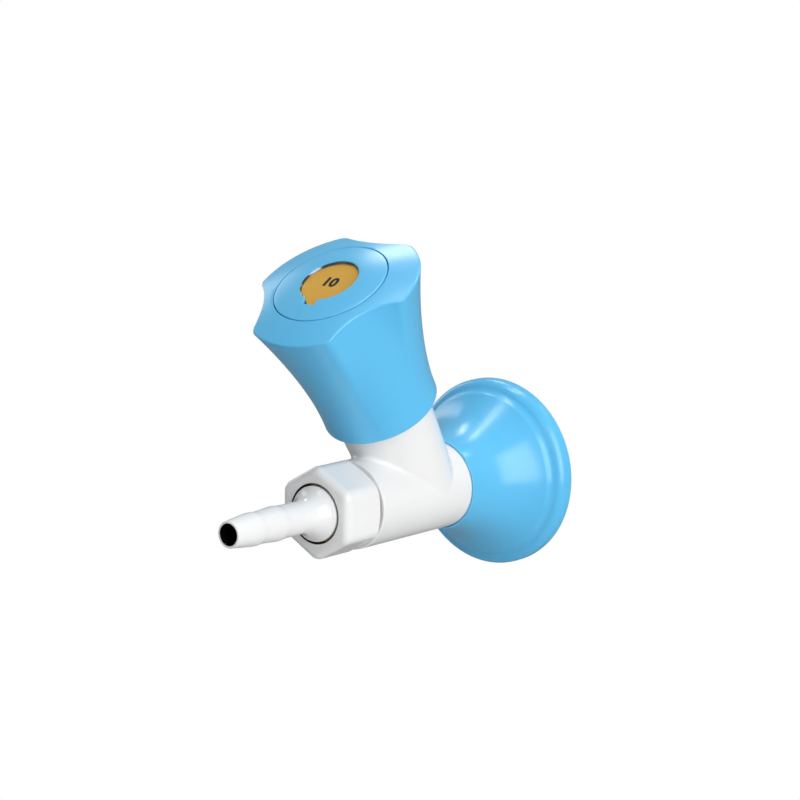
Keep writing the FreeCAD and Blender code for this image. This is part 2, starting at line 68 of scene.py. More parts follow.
# %% [markdown]
# ## Two axes
# Nearly every piece is round about one of two axes. The outlet axis is horizontal and leaves the
# wall along -Y. The knob axis crosses it and leans towards the nozzle. The frame's knob joint says
# where that axis is, so it is read from there. Each round piece is first made standing on the origin
# with Z as its axis, in millimetres, because a maker's drawing gives its sizes that way. One matrix
# for each axis then scales it to metres and puts it in place.

# %% The outlet axis and the knob axis
knob_joint = next(joint for joint in frame["joints"] if joint["name"] == "knob_turn")
crossing = Vector(knob_joint["pos_m"])
tilt = math.atan2(-knob_joint["axis"][1], knob_joint["axis"][2])
millimetre = Matrix.Scale(0.001, 4)
ON_OUTLET = Matrix.Rotation(math.pi / 2, 4, "X") @ millimetre
ON_KNOB = Matrix.Translation(crossing) @ Matrix.Rotation(tilt, 4, "X") @ millimetre
print(f"knob axis leans {math.degrees(tilt):.1f} degrees",
      f"and crosses {-crossing.y * 1000:.1f} mm from the wall")

# %% [markdown]
# ## The camera
# A long lens a little under a metre away keeps the tap's parallel edges nearly parallel. The camera
# stands to the right of the outlet and a little above it, and it is rolled by a little under one
# degree.

# %% Camera
AIM = Vector((0.0, -0.0455, 0.0264))
DISTANCE, AZIMUTH, ELEVATION, ROLL = 0.8315, 38.25, 10.0, 0.81
LENS_MM, SENSOR_MM = 135, 36


def placed(name, data):
    """A new object in the scene, made of this data."""
    made = bpy.data.objects.new(name, data)
    bpy.context.scene.collection.objects.link(made)
    return made


turn = (Matrix.Rotation(math.radians(AZIMUTH), 4, "Z")
        @ Matrix.Rotation(math.radians(90 - ELEVATION), 4, "X")
        @ Matrix.Rotation(math.radians(ROLL), 4, "Z"))
lens = bpy.data.cameras.new("camera")
lens.lens, lens.sensor_width = LENS_MM, SENSOR_MM
camera = placed("camera", lens)
camera.matrix_world = Matrix.Translation(AIM) @ turn @ Matrix.Translation((0, 0, DISTANCE))
bpy.context.scene.camera = camera
bpy.context.scene.view_settings.view_transform = "Standard"
print("camera at", [round(v, 4) for v in camera.matrix_world.translation])

# %% [markdown]
# ## Colours and nodes
# Colours are written as the hex values that a screen shows. A shader wants light, not screen values,
# so one function turns them to linear. A second function adds a node, sets it and links its inputs,
# and it serves every material and every Geometry Nodes tree here. Where it is handed a node instead
# of a socket, it links that node's first output.

# %% Colour and node helpers
MATH = "ShaderNodeMath"


def colour(hex_value):
    """Linear RGBA from a screen colour such as 5FB4E6."""
    channels = [int(hex_value[i:i + 2], 16) / 255 for i in (0, 2, 4)]
    return [c / 12.92 if c <= 0.04045 else ((c + 0.055) / 1.055) ** 2.4 for c in channels] + [1.0]


def add(tree, kind, inputs=(), **settings):
    """A new node. inputs gives what goes into it, in order or by name: values, sockets or nodes."""
    node = tree.nodes.new(kind)
    for name, value in settings.items():
        setattr(node, name, value)
    by_name = inputs if isinstance(inputs, dict) else dict(enumerate(inputs))
    for key, value in by_name.items():
        if isinstance(value, bpy.types.Node):
            value = value.outputs[0]
        if isinstance(value, bpy.types.NodeSocket):
            tree.links.new(value, node.inputs[key])
        else:
            node.inputs[key].default_value = value
    return node


def material(name, build):
    """A material whose surface is the shader node that build(tree, position) returns."""
    made = bpy.data.materials.new(name)
    made.use_nodes = True
    tree = made.node_tree
    tree.nodes.clear()
    position = add(tree, "ShaderNodeTexCoord").outputs["Object"]
    add(tree, "ShaderNodeOutputMaterial", {"Surface": build(tree, position)})
    return made


print("a mid blue in linear light:", [round(c, 3) for c in colour("5FB4E6")])

# %% [markdown]
# ## Finishes
# Every finish on the tap has a base colour that drifts between two close tones, and all but the
# acrylic have a bump. Its waves would stand a tenth of a millimetre high at full strength, and each
# finish takes a small share of that. Tones and bumps come from noise, whose scale is worked out from
# the length of a wave in metres. So one recipe serves every finish.

# %% The recipe
BUMP_HEIGHT = 0.0001


def recipe(tones, drift, look, grain=None, strength=0.0, follows=None):
    """Builder of a finish between two screen colours. drift and grain give a noise's wave and its
    detail, look the shader's settings. follows(tree, position) gives the grain another position."""
    def build(tree, position):
        cloud = add(tree, "ShaderNodeTexNoise", {
            "Vector": position, "Scale": 1 / drift[0], "Detail": drift[1]})
        shade = add(tree, "ShaderNodeMix", {0: cloud, 6: colour(tones[0]), 7: colour(tones[1])},
                    data_type="RGBA")
        inputs = {"Base Color": shade.outputs[2], **look}
        if grain:
            waves = add(tree, "ShaderNodeTexNoise", {
                "Vector": follows(tree, position) if follows else position,
                "Scale": 1 / grain[0], "Detail": grain[1]})
            inputs["Normal"] = add(tree, "ShaderNodeBump", {
                "Height": waves, "Strength": strength, "Distance": BUMP_HEIGHT})
        return add(tree, "ShaderNodeBsdfPrincipled", inputs)
    return build


# %% [markdown]
# The body, nut and nozzle are brass under a baked white epoxy powder coat. Powder melts into a skin
# with a faint orange-peel texture, about a millimetre from wave to wave, which only shows where a
# highlight breaks up. The clear gloss is the resin's own surface.

# %% White powder coat
COAT_TONE, PEEL = (0.015, 3.0), (0.0012, 2.0)

coat_white = material("white_epoxy_powder_coat", recipe(
    ("F4F4F3", "EFEFEE"), COAT_TONE, {"Roughness": 0.13, "IOR": 1.5}, grain=PEEL, strength=0.04))
print("powder coat:", len(coat_white.node_tree.nodes), "nodes")

# %% [markdown]
# The knob, its cap and the wall flange are injection moulded polyamide, dyed sky blue in the mass.
# The tool's surface is finely eroded, so the skin is satin. Its real grain is too fine to show here,
# so it is drawn 0.4 mm coarse. Light goes a little way into the plastic, and blue light goes
# furthest, so the side in shade turns a deeper blue instead of grey.

# %% Sky-blue polyamide
DYE, ERODED = (0.02, 2.0), (0.0004, 3.0)

blue_polyamide = material("sky_blue_polyamide", recipe(("65C6F4", "5FC0F1"), DYE, {
    "Roughness": 0.23, "IOR": 1.53, "Subsurface Weight": 0.15, "Subsurface Radius": (0.3, 0.6, 1.0),
    "Subsurface Scale": 0.0015}, grain=ERODED, strength=0.05))
print("polyamide:", len(blue_polyamide.node_tree.nodes), "nodes")

# %% [markdown]
# The index disc is cast acrylic in amber, polished, so it has no bump and mirrors the room sharply.

# %% Amber acrylic
TINT = (0.006, 2.0)

amber_acrylic = material("amber_acrylic", recipe(("E2B040", "DAA639"), TINT, {
    "Roughness": 0.08, "IOR": 1.49, "Coat Weight": 0.6, "Coat Roughness": 0.02}))
print("acrylic:", len(amber_acrylic.node_tree.nodes), "nodes")

# %% [markdown]
# Turned brass and stainless steel show the fine rings that the tool left. A noise that only knows how
# far a point lies along the turning axis, and how far from it, gives rings round that axis. So brass
# comes twice, once for each of the two axes. Real rings lie about a tenth of a millimetre apart, too
# fine to show here, so they are drawn 0.4 mm apart.

# %% Turned metals
STAIN, RINGS = (0.008, 4.0), (0.0004, 2.0)


def turned_metal(light, dark, roughness, place):
    """place is the matrix of the axis that the piece was turned on, whose Z is that axis."""
    axis = tuple((place.to_3x3() @ Vector((0, 0, 1))).normalized())
    origin = tuple(place.translation)

    def on_axis(tree, position):
        from_origin = add(tree, "ShaderNodeVectorMath", (position, origin), operation="SUBTRACT")
        along = add(tree, "ShaderNodeVectorMath", (from_origin, axis), operation="DOT_PRODUCT")
        across = add(tree, "ShaderNodeVectorMath", (from_origin, axis), operation="CROSS_PRODUCT")
        radius = add(tree, "ShaderNodeVectorMath", (across,), operation="LENGTH")
        return add(tree, "ShaderNodeCombineXYZ", (radius.outputs["Value"], along.outputs["Value"]))

    return recipe((light, dark), STAIN, {"Metallic": 1.0, "Roughness": roughness},
                  grain=RINGS, strength=0.06, follows=on_axis)


turned_brass = material("turned_brass", turned_metal("E2BC6E", "CFA24E", 0.24, ON_KNOB))
outlet_brass = material("turned_brass_outlet", turned_metal("E2BC6E", "CFA24E", 0.24, ON_OUTLET))
# Near-black brass for the insides of bores, the nut's hole and the passages: painted shade where those
# hollows fall dark.
shade_painted_brass = material("oil_darkened_brass", turned_metal("3A3428", "262219", 0.5, ON_OUTLET))
turned_steel = material("turned_stainless_steel", turned_metal("C9CBCD", "B4B6B8", 0.28, ON_KNOB))
print("turned brass:", len(turned_brass.node_tree.nodes), "nodes")

# %% [markdown]
# Seals are soft and never gloss. Nitrile rubber is black and dull, with a faint uneven bloom where
# its wax comes to the surface, and PTFE is a waxy white. The bloom both tints and roughens them.

# %% Seals, and a finish for every node of the frame
BLOOM = (0.003, 4.0)


def soft_seal(light, dark, roughness):
    return recipe((light, dark), BLOOM, {"Roughness": roughness}, grain=BLOOM, strength=0.15)


seal_rubber = material("nitrile_rubber", soft_seal("2B2B2C", "1F1F20", 0.62))
seal_ptfe = material("white_ptfe", soft_seal("ECEBE6", "E3E1DA", 0.5))

finish_of_slot = {
    "coated_brass": coat_white, "blue_plastic": blue_polyamide, "amber_plastic": amber_acrylic,
    "bare_brass": turned_brass, "stainless_steel": turned_steel, "seal_rubber": seal_rubber,
    "seal_polymer": seal_ptfe}
for subpart in frame["record"]["subparts"]:
    node = frame["nodes"][subpart["node"]]
    node.data.materials.clear()
    node.data.materials.append(finish_of_slot[subpart["material_slot"]])
print("finishes:", len(finish_of_slot), "for", len(frame["nodes"]), "nodes")

# %% [markdown]
# ## The studio
# Places round the tap are given as a compass bearing and a height angle, both in degrees, seen from
# the tap: bearing 0 is in front of the nozzle, 90 is on the right. A tall panel on the right is the
# key and makes that side almost white. A long strip hangs overhead, in line with the tube. It lights
# the knob's top and mirrors as a fine streak along the nozzle and down the flange. A weak panel in
# front keeps the nut's face grey, and one on the left lifts the knob's left edge. Two small panels
# behind draw the sheen on the knob's far lobe and on the flange. Little light comes from below, so
# the shapes turn dark there. The paper floor is plain white to the camera, much darker in
# reflections, and to all other light it is a pale sheet that sends a little back up.

# %% Paper floor
FLOOR_DROP, FLOOR_WIDTH = 0.14, 30.0
FLOOR_MIRRORED = 0.22


def paper(tree, position):
    ray = add(tree, "ShaderNodeLightPath").outputs
    to_camera, to_mirror = ray["Is Camera Ray"], ray["Is Glossy Ray"]
    seen = add(tree, MATH, (to_camera, to_mirror), operation="MAXIMUM")
    power = add(tree, MATH, (to_mirror, FLOOR_MIRRORED, to_camera), operation="MULTIPLY_ADD")
    sheet = add(tree, "ShaderNodeBsdfDiffuse", {"Color": colour("C4C4C4")})
    glow = add(tree, "ShaderNodeEmission", {"Color": colour("FFFFFF"), "Strength": power})
    return add(tree, "ShaderNodeMixShader", (seen, sheet, glow))


floor_mesh = bpy.data.meshes.new("paper_floor")
half = FLOOR_WIDTH / 2
floor_mesh.from_pydata([(-half, -half, -FLOOR_DROP), (half, -half, -FLOOR_DROP),
                        (half, half, -FLOOR_DROP), (-half, half, -FLOOR_DROP)], [], [(0, 1, 2, 3)])
floor_mesh.materials.append(material("white_paper", paper))
floor = placed("paper_floor", floor_mesh)
print(f"the paper lies {FLOOR_DROP * 1000:.0f} mm below the outlet axis")

# %% Lamps
def lamp(name, bearing, height, distance, size, power):
    """A soft panel of light that faces the tap. Its size is its width and its height, in metres."""
    light = bpy.data.lights.new(name, "AREA")
    light.shape, light.size, light.size_y = "RECTANGLE", size[0], size[1]
    light.energy = power
    b, h = math.radians(bearing), math.radians(height)
    away = Vector((math.sin(b) * math.cos(h), -math.cos(b) * math.cos(h), math.sin(h)))
    shown = placed(name, light)
    shown.location = AIM + away * distance
    shown.rotation_euler = (-away).to_track_quat("-Z", "Y").to_euler()
    print(f"{name}: {power} W, {size[0]} by {size[1]} m")


lamp("key_panel", 75, 12, 0.9, (0.7, 1.0), 8.2)
lamp("high_strip", -100, 82, 0.9, (0.9, 0.14), 2.9)
lamp("front_panel", 10, 25, 0.9, (0.5, 0.5), 0.4)
lamp("left_panel", -105, 18, 0.9, (0.25, 0.6), 0.9)
lamp("back_panel", -134, 50, 0.8, (0.18, 0.12), 0.6)
lamp("edge_panel", 160, 42, 0.8, (0.12, 0.08), 0.22)

# %% Light of the room
ROOM_POWER = 0.32

world = bpy.data.worlds.new("studio")
bpy.context.scene.world = world
world.use_nodes = True
sky = world.node_tree
sky.nodes.clear()
to_camera = add(sky, "ShaderNodeLightPath").outputs["Is Camera Ray"]
room = add(sky, "ShaderNodeBackground", {"Color": colour("F4F6F9"), "Strength": ROOM_POWER})
white = add(sky, "ShaderNodeBackground", {"Color": colour("FFFFFF"), "Strength": 1.0})
mixed = add(sky, "ShaderNodeMixShader", (to_camera, room, white))
add(sky, "ShaderNodeOutputWorld", {"Surface": mixed})
print("room light at", ROOM_POWER, "of full white")

# %% [markdown]
# ## Turned pieces
# Most of the tap is turned or moulded round an axis. On the lathe a corner is never quite sharp, and
# paint softens it more, so a highlight runs along every edge. A Bevel modifier could round the edges
# after the fact, but then its width would be the same everywhere. Here the half section is drawn as
# on a workshop drawing instead: corner by corner, with each corner's own rounding. It is then swung
# round the axis into a closed mesh.

# %% Sections
MOST_OF_SIDE = 0.48


def softened(corners, steps=4):
    """Closed section of (r, z) points. A corner given as (r, z, rounding) becomes a true arc, which
    takes less than half of the sides that meet there."""
    section = []
    for i, corner in enumerate(corners):
        here = Vector(corner[:2])
        if len(corner) == 2:
            section.append(here)
            continue
        before = Vector(corners[i - 1][:2]) - here
        after = Vector(corners[(i + 1) % len(corners)][:2]) - here
        turn = math.pi - before.angle(after)
        reach = min(corner[2] * math.tan(turn / 2), MOST_OF_SIDE * before.length,
                    MOST_OF_SIDE * after.length)
        a, b = here + before.normalized() * reach, here + after.normalized() * reach
        pull = math.cos(turn / 2)
        for k in range(steps + 1):
            t = k / steps
            weights = ((1 - t) ** 2, 2 * t * (1 - t) * pull, t ** 2)
            section.append((a * weights[0] + here * weights[1] + b * weights[2]) / sum(weights))
    return section


def arc(start, through, end, steps):
    """Points of the arc after start, through a middle point, up to end."""
    (ax, ay), (bx, by), (cx, cy) = start, through, end
    d = 2 * (ax * (by - cy) + bx * (cy - ay) + cx * (ay - by))
    aa, bb, cc = ax * ax + ay * ay, bx * bx + by * by, cx * cx + cy * cy
    ux = (aa * (by - cy) + bb * (cy - ay) + cc * (ay - by)) / d
    uy = (aa * (cx - bx) + bb * (ax - cx) + cc * (bx - ax)) / d
    first, last = math.atan2(ay - uy, ax - ux), math.atan2(cy - uy, cx - ux)
    sweep = (last - first + math.pi) % (2 * math.pi) - math.pi
    radius = math.hypot(ax - ux, ay - uy)
    angles = [first + sweep * k / steps for k in range(1, steps + 1)]
    return [(ux + radius * math.cos(a), uy + radius * math.sin(a)) for a in angles]


print("a corner rounded in", len(softened([(0, 0, 1), (9, 0), (9, 9), (0, 9)])) - 3, "points")

# %% Turning a section into a piece
MERGE_MM = 1e-4


def swung(section, segments):
    """Vertices and faces of a closed section of (r, z) points swung round Z."""
    count = len(section)
    vertices = [(r * math.cos(a), r * math.sin(a), z)
                for a in (2 * math.pi * i / segments for i in range(segments)) for r, z in section]
    faces = [(i * count + j, (i + 1) % segments * count + j, (i + 1) % segments * count + (j + 1) % count,
              i * count + (j + 1) % count) for i in range(segments) for j in range(count)]
    return vertices, faces


def plain_mesh(name, vertices, faces):
    """A mesh with its doubles merged and its faces pointing outwards."""
    mesh = bpy.data.meshes.new(name)
    mesh.from_pydata(vertices, [], faces)
    shell = bmesh.new()
    shell.from_mesh(mesh)
    bmesh.ops.remove_doubles(shell, verts=shell.verts, dist=MERGE_MM)
    bmesh.ops.recalc_face_normals(shell, faces=shell.faces)
    shell.to_mesh(mesh)
    shell.free()
    return mesh


def dressed(name, mesh, place, body, replaced, finish, which=None, crease=32):
    """Puts a mesh in place as a finished piece that rides on a body and stands for a frame's node.
    which(r, z) picks one of the finishes for a face by its middle's radius and height. An edge that
    turns by more than the crease, in degrees, stays sharp."""
    mesh.materials.clear()
    for one in finish:
        mesh.materials.append(one)
    for face in mesh.polygons if which else ():
        x, y, z = face.center
        face.material_index = which(math.hypot(x, y), z)
    mesh.transform(place)
    mesh.shade_smooth()
    mesh.set_sharp_from_angle(angle=math.radians(crease))
    piece = placed(name, mesh)
    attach(piece, body)
    if replaced:
        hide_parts(replaced)
    even = piece.modifiers.new("even_normals", "WEIGHTED_NORMAL")
    even.keep_sharp = True
    print(f"{name}: {len(mesh.polygons)} faces")
    return piece


# %% [markdown]
# ## The wall flange
# A trumpet of blue plastic slides over the tube and hides the hole in the wall. Seen from the wall
# its rim is a straight band, rounds over, dips into a shallow cove and rises to a ridge, and from
# there one long curve runs to a thin lip on the tube. Each run is one arc, as the mould maker cut it.

# %% Wall flange
FLANGE_R, RIM_S, RIM_MIDDLE, RIM_WALL = 27.0, 2.3, (26.51, 3.96), 2
COVE, COVE_MIDDLE, RIDGE = (25.2, 5.1), (23.95, 5.8), (23.2, 7.0)
WAIST, LIP_S, LIP_WALL = (16.9, 14.5), 28.0, 0.5
NECK_R, NECK_S, SHELL = 12.45, 21.5, 1.5

trumpet_out = arc(RIDGE, WAIST, (NECK_R + LIP_WALL, LIP_S), 28)
trumpet_in = arc((NECK_R, NECK_S), (WAIST[0] - SHELL * 0.75, WAIST[1] - SHELL),
                 (RIDGE[0] - SHELL, RIDGE[1] - SHELL), 16)
flange_section = softened(
    [(FLANGE_R - RIM_WALL, 0, 0.3), (FLANGE_R, 0, 0.5), (FLANGE_R, RIM_S)]
    + arc((FLANGE_R, RIM_S), RIM_MIDDLE, COVE, 9)[:-1] + [(*COVE, 0.6)]
    + arc(COVE, COVE_MIDDLE, RIDGE, 6)[:-1] + [(*RIDGE, 0.8)]
    + trumpet_out[:-1] + [(NECK_R + LIP_WALL, LIP_S, 0.2), (NECK_R, LIP_S, 0.2), (NECK_R, NECK_S)]
    + trumpet_in + [(FLANGE_R - RIM_WALL, RIM_S)])
dressed("wall_flange_shell", plain_mesh("wall_flange_shell", *swung(flange_section, 288)), ON_OUTLET,
        "tap", "wall_flange", [blue_polyamide])

# %% [markdown]
# ## The knob
# The knob is one moulding with three lobes. Its shape follows a rule, so Geometry Nodes shape it:
# a round blank goes in, and the tree moves each point outwards by how far round it lies. At any
# height the wall lies between two flared curves, one down the middle of a scallop and one down the
# middle of a lobe. A Float Curve says how far between the two, from 0 in the scallop to 1 on the
# lobe: a hollow arc, then a quick round corner, then the lobe's own circle. The top is part of a
# sphere, so the rim rises and falls as it goes round, which is what makes such a knob look alive.

# %% Helpers for Geometry Nodes
def new_tree(name, sizes):
    """A Geometry Nodes tree that takes a geometry and these named sizes, and its inputs' sockets."""
    tree = bpy.data.node_groups.new(name, "GeometryNodeTree")
    tree.is_modifier = True
    tree.interface.new_socket("Geometry", in_out="INPUT", socket_type="NodeSocketGeometry")
    tree.interface.new_socket("Geometry", in_out="OUTPUT", socket_type="NodeSocketGeometry")
    for label, value in sizes.items():
        tree.interface.new_socket(label, in_out="INPUT", socket_type="NodeSocketFloat").default_value = value
    return tree, add(tree, "NodeGroupInput").outputs


def position_of(tree):
    """X, Y and Z of the point that the tree works on."""
    return add(tree, "ShaderNodeSeparateXYZ", (add(tree, "GeometryNodeInputPosition"),)).outputs


def on_spoke(tree, radius, angle, height):
    """Position at this radius, angle and height."""
    cosine = add(tree, MATH, (angle,), operation="COSINE")
    sine = add(tree, MATH, (angle,), operation="SINE")
    x = add(tree, MATH, (radius, cosine), operation="MULTIPLY")
    y = add(tree, MATH, (radius, sine), operation="MULTIPLY")
    return add(tree, "ShaderNodeCombineXYZ", (x, y, height))


def closed_tree(tree, geometry, finish):
    """Ends a tree in Realize Instances and Set Material."""
    real = add(tree, "GeometryNodeRealizeInstances", (geometry,))
    made = add(tree, "GeometryNodeSetMaterial", {"Geometry": real, "Material": finish})
    add(tree, "NodeGroupOutput", (made,))


def grown(name, mesh, tree, **sizes):
    """Plain mesh that the tree makes of a mesh, with some of its sizes set."""
    seed = placed(name, mesh)
    modifier = seed.modifiers.new(name, "NODES")
    modifier.node_group = tree
    for socket in tree.interface.items_tree:
        label = socket.name.lower().replace(" ", "_")
        if socket.in_out == "INPUT" and label in sizes:
            modifier[socket.identifier] = sizes[label]
    result = bpy.data.meshes.new_from_object(seed.evaluated_get(bpy.context.evaluated_depsgraph_get()))
    bpy.data.objects.remove(seed)
    return result


# %% The knob's sizes, in millimetres
FOOT_R, FOOT_H, FOOT_TOP_H = 16.3, 29.8, 33.0
LOBE_R, SCALLOP_R = 24.75, 19.4
LOBE_FLARE, SCALLOP_FLARE = 1.62, 1.2
DOME_R, APEX_H = 87.0, 74.3
SEAT_R, SEAT_H = 16.3, 69.8
GROOVE_R, GROOVE_H, WELL_R = 15.6, 65.7, 15.0
CAVITY_R, WEB_H, WEB_TOP_H = 14.4, 52.7, 56.7
HUB_R, HUB_BORE_R, HUB_H, HUB_TOP_H = 10.0, 7.0, 48.8, 66.25


def dome(r):
    """Height of the domed top at a distance from the axis."""
    return APEX_H - DOME_R + math.sqrt(DOME_R ** 2 - r ** 2)


print(f"the lobes' rim lies at {dome(LOBE_R):.2f} mm, the scallops' at {dome(SCALLOP_R):.2f} mm")

# %% [markdown]
# The blank is a closed section like that of any turned piece. Two attributes on its points tell the
# tree what they are. On the outer wall "rise" runs from 0 at the foot to 1 at the rim, and on the top
# "spread" runs from 1 at the rim to 0 at the cap's seat. All other points stay where they are, and
# carry -1 in both.

# %% The knob's blank
WALL_ROWS, TOP_ROWS, KNOB_SEGMENTS = 30, 3, 288
BLANK_WALL, BLANK_TOP_H = 37, 71.0
STAYS = -1

foot = softened([(CAVITY_R, FOOT_H, 0.4), (FOOT_R, FOOT_H, 1.3), (FOOT_R, FOOT_TOP_H),
                 (CAVITY_R, FOOT_TOP_H)], steps=5)[:-2]
inside = softened([
    (SEAT_R + 1, dome(SEAT_R + 1)), (SEAT_R, dome(SEAT_R), 0.18), (SEAT_R, SEAT_H),
    (GROOVE_R, SEAT_H), (GROOVE_R, GROOVE_H), (WELL_R, GROOVE_H), (WELL_R, WEB_TOP_H),
    (HUB_R, WEB_TOP_H, 0.5), (HUB_R, HUB_TOP_H), (HUB_BORE_R, HUB_TOP_H), (HUB_BORE_R, HUB_H),
    (HUB_R, HUB_H, 0.3), (HUB_R, WEB_H, 0.6), (CAVITY_R, WEB_H, 1.0), (CAVITY_R, FOOT_H + 1)],
    steps=3)[1:-1]
section = [(r, z, STAYS, STAYS) for r, z in foot]
section += [(FOOT_R, FOOT_TOP_H + BLANK_WALL * k / WALL_ROWS, k / WALL_ROWS, STAYS)
            for k in range(WALL_ROWS)]
section += [(FOOT_R, BLANK_TOP_H, STAYS, 1 - k / TOP_ROWS) for k in range(TOP_ROWS)]
section += [(r, z, STAYS, STAYS) for r, z in inside]
vertices, faces = swung([row[:2] for row in section], KNOB_SEGMENTS)
knob_blank = bpy.data.meshes.new("knob_blank")
knob_blank.from_pydata(vertices, [], faces)
for label, column in (("rise", 2), ("spread", 3)):
    values = [row[column] for row in section] * KNOB_SEGMENTS
    knob_blank.attributes.new(label, "FLOAT", "POINT").data.foreach_set("value", values)
print("knob blank:", len(vertices), "points")

# %% [markdown]
# The tree first works out where round the knob a point lies. That gives a phase, 0 in the middle of
# a scallop and 1 in the middle of a lobe, and the Float Curve turns it into how full the lobe is.

# %% How full the lobe is
LOBE_PROFILE = [(0, 0), (0.067, 0.016), (0.133, 0.064), (0.2, 0.149), (0.267, 0.276), (0.333, 0.459),
                (0.367, 0.578), (0.4, 0.722), (0.433, 0.87), (0.467, 0.956), (0.5, 0.995), (0.53, 1), (1, 1)]
WHOLE_TURNS = 10

lobes, knob_size = new_tree("lobed_knob", {
    "Lobes": 3, "First lobe": math.radians(30), "Lobe radius": LOBE_R, "Scallop radius": SCALLOP_R,
    "Foot radius": FOOT_R, "Foot top": FOOT_TOP_H, "Lobe flare": LOBE_FLARE, "Scallop flare": SCALLOP_FLARE,
    "Dome radius": DOME_R, "Apex": APEX_H, "Seat radius": SEAT_R})

place = position_of(lobes)
bearing = add(lobes, MATH, (place["Y"], place["X"]), operation="ARCTAN2")
pitch = add(lobes, MATH, (2 * math.pi, knob_size["Lobes"]), operation="DIVIDE")
past_first = add(lobes, MATH, (bearing, knob_size["First lobe"]), operation="SUBTRACT")
turns = add(lobes, MATH, (past_first, pitch), operation="DIVIDE")
# Whole turns change nothing, but they keep the number above 0.
turns = add(lobes, MATH, (turns, WHOLE_TURNS), operation="ADD")
part = add(lobes, MATH, (turns,), operation="FRACT")
off_scallop = add(lobes, MATH, (part, 0.5), operation="SUBTRACT")
phase = add(lobes, MATH, (2, off_scallop), operation="MULTIPLY")
phase = add(lobes, MATH, (phase,), operation="ABSOLUTE")
fullness = add(lobes, "ShaderNodeFloatCurve", {"Value": phase})
points = fullness.mapping.curves[0].points
points[0].location, points[1].location = LOBE_PROFILE[0], LOBE_PROFILE[-1]
for knot in LOBE_PROFILE[1:-1]:
    points.new(*knot)
fullness.mapping.update()
print("lobe profile:", len(points), "knots")

# %% [markdown]
# The wall's radius comes from how high a point lies, and the rim's height from its radius, because
# the rim lies on the dome. So the tree first takes the radius that the wall has at the height of the
# lobes' rim, and corrects it once.

# %% Height of the dome and radius of the wall
def dome_height(r):
    """Height of the domed top at a distance from the axis."""
    dome_square = add(lobes, MATH, (knob_size["Dome radius"], 2), operation="POWER")
    square = add(lobes, MATH, (r, 2), operation="POWER")
    difference = add(lobes, MATH, (dome_square, square), operation="SUBTRACT")
    root = add(lobes, MATH, (difference,), operation="SQRT")
    centre = add(lobes, MATH, (knob_size["Apex"], knob_size["Dome radius"]), operation="SUBTRACT")
    return add(lobes, MATH, (centre, root), operation="ADD")


def above_foot(r):
    """Height of the dome above the foot's top, at a distance from the axis."""
    return add(lobes, MATH, (dome_height(r), knob_size["Foot top"]), operation="SUBTRACT")


def wall_radius(u):
    """Radius of the wall where u is the share of the lobe's height."""
    curves = []
    for radius, flare in (("Scallop radius", "Scallop flare"), ("Lobe radius", "Lobe flare")):
        reach = add(lobes, MATH, (knob_size[radius], knob_size["Foot radius"]), operation="SUBTRACT")
        power = add(lobes, MATH, (u, knob_size[flare]), operation="POWER")
        curves.append(add(lobes, MATH, (reach, power, knob_size["Foot radius"]), operation="MULTIPLY_ADD"))
    gap = add(lobes, MATH, (curves[1], curves[0]), operation="SUBTRACT")
    return add(lobes, MATH, (gap, fullness, curves[0]), operation="MULTIPLY_ADD")


wall_height = above_foot(knob_size["Lobe radius"])
first_rise = above_foot(wall_radius(1.0))
rim_radius = wall_radius(add(lobes, MATH, (first_rise, wall_height), operation="DIVIDE"))
rim_rise = above_foot(rim_radius)
print("lobe tree so far:", len(lobes.nodes), "nodes")

# %% Where the tree puts each point
rise = add(lobes, "GeometryNodeInputNamedAttribute", {"Name": "rise"}, data_type="FLOAT")
spread = add(lobes, "GeometryNodeInputNamedAttribute", {"Name": "spread"}, data_type="FLOAT")
wall_z = add(lobes, MATH, (rim_rise, rise), operation="MULTIPLY")
wall_top = add(lobes, MATH, (wall_z, 0), operation="MAXIMUM")
wall_r = wall_radius(add(lobes, MATH, (wall_top, wall_height), operation="DIVIDE"))
wall_z = add(lobes, MATH, (wall_z, knob_size["Foot top"]), operation="ADD")
top_width = add(lobes, MATH, (rim_radius, knob_size["Seat radius"]), operation="SUBTRACT")
top_r = add(lobes, MATH, (top_width, spread, knob_size["Seat radius"]), operation="MULTIPLY_ADD")

shaped = knob_size["Geometry"]
for share, r, z in ((rise, wall_r, wall_z), (spread, top_r, dome_height(top_r))):
    moves = add(lobes, MATH, (share, STAYS / 2), operation="GREATER_THAN")
    shaped = add(lobes, "GeometryNodeSetPosition", {
        "Geometry": shaped, "Selection": moves, "Position": on_spoke(lobes, r, bearing, z)})
closed_tree(lobes, shaped, blue_polyamide)
print("lobe tree:", len(lobes.nodes), "nodes")

# %% [markdown]
# The tree makes the rim, so the blank's section can't round it. The edges along the rim are found by
# their row in the blank and get a bevel weight, and a Bevel modifier rounds only those.

# %% The knob itself
RIM_ROUND = 0.5
knob_mesh = grown("knob", knob_blank, lobes)
rim_row = len(foot) + WALL_ROWS
row_count = len(section)
weights = knob_mesh.attributes.new("bevel_weight_edge", "FLOAT", "EDGE").data
for edge in knob_mesh.edges:
    if all(v % row_count == rim_row for v in edge.vertices):
        weights[edge.index].value = 1.0
knob = dressed("knob_moulding", knob_mesh, ON_KNOB, "knob", "knob_shell", [blue_polyamide])
rounding = knob.modifiers.new("rim_round", "BEVEL")
rounding.limit_method, rounding.width, rounding.segments = "WEIGHT", RIM_ROUND / 1000, 6
knob.modifiers.move(1, 0)

# %% [markdown]
# ## The cap and its index disc
# A ring clips into the knob's top and continues its dome. Its window holds an amber disc with a key,
# so that the disc can't turn. The ring is not quite round inside, because of the notch for that key,
# so it isn't swung round the axis. Its outline is walked once round the window, notch and all, and
# once round the rim with the same number of steps, and rows of points between the two lie on the
# dome. Small rounded edges come from rows that step down beside an edge.

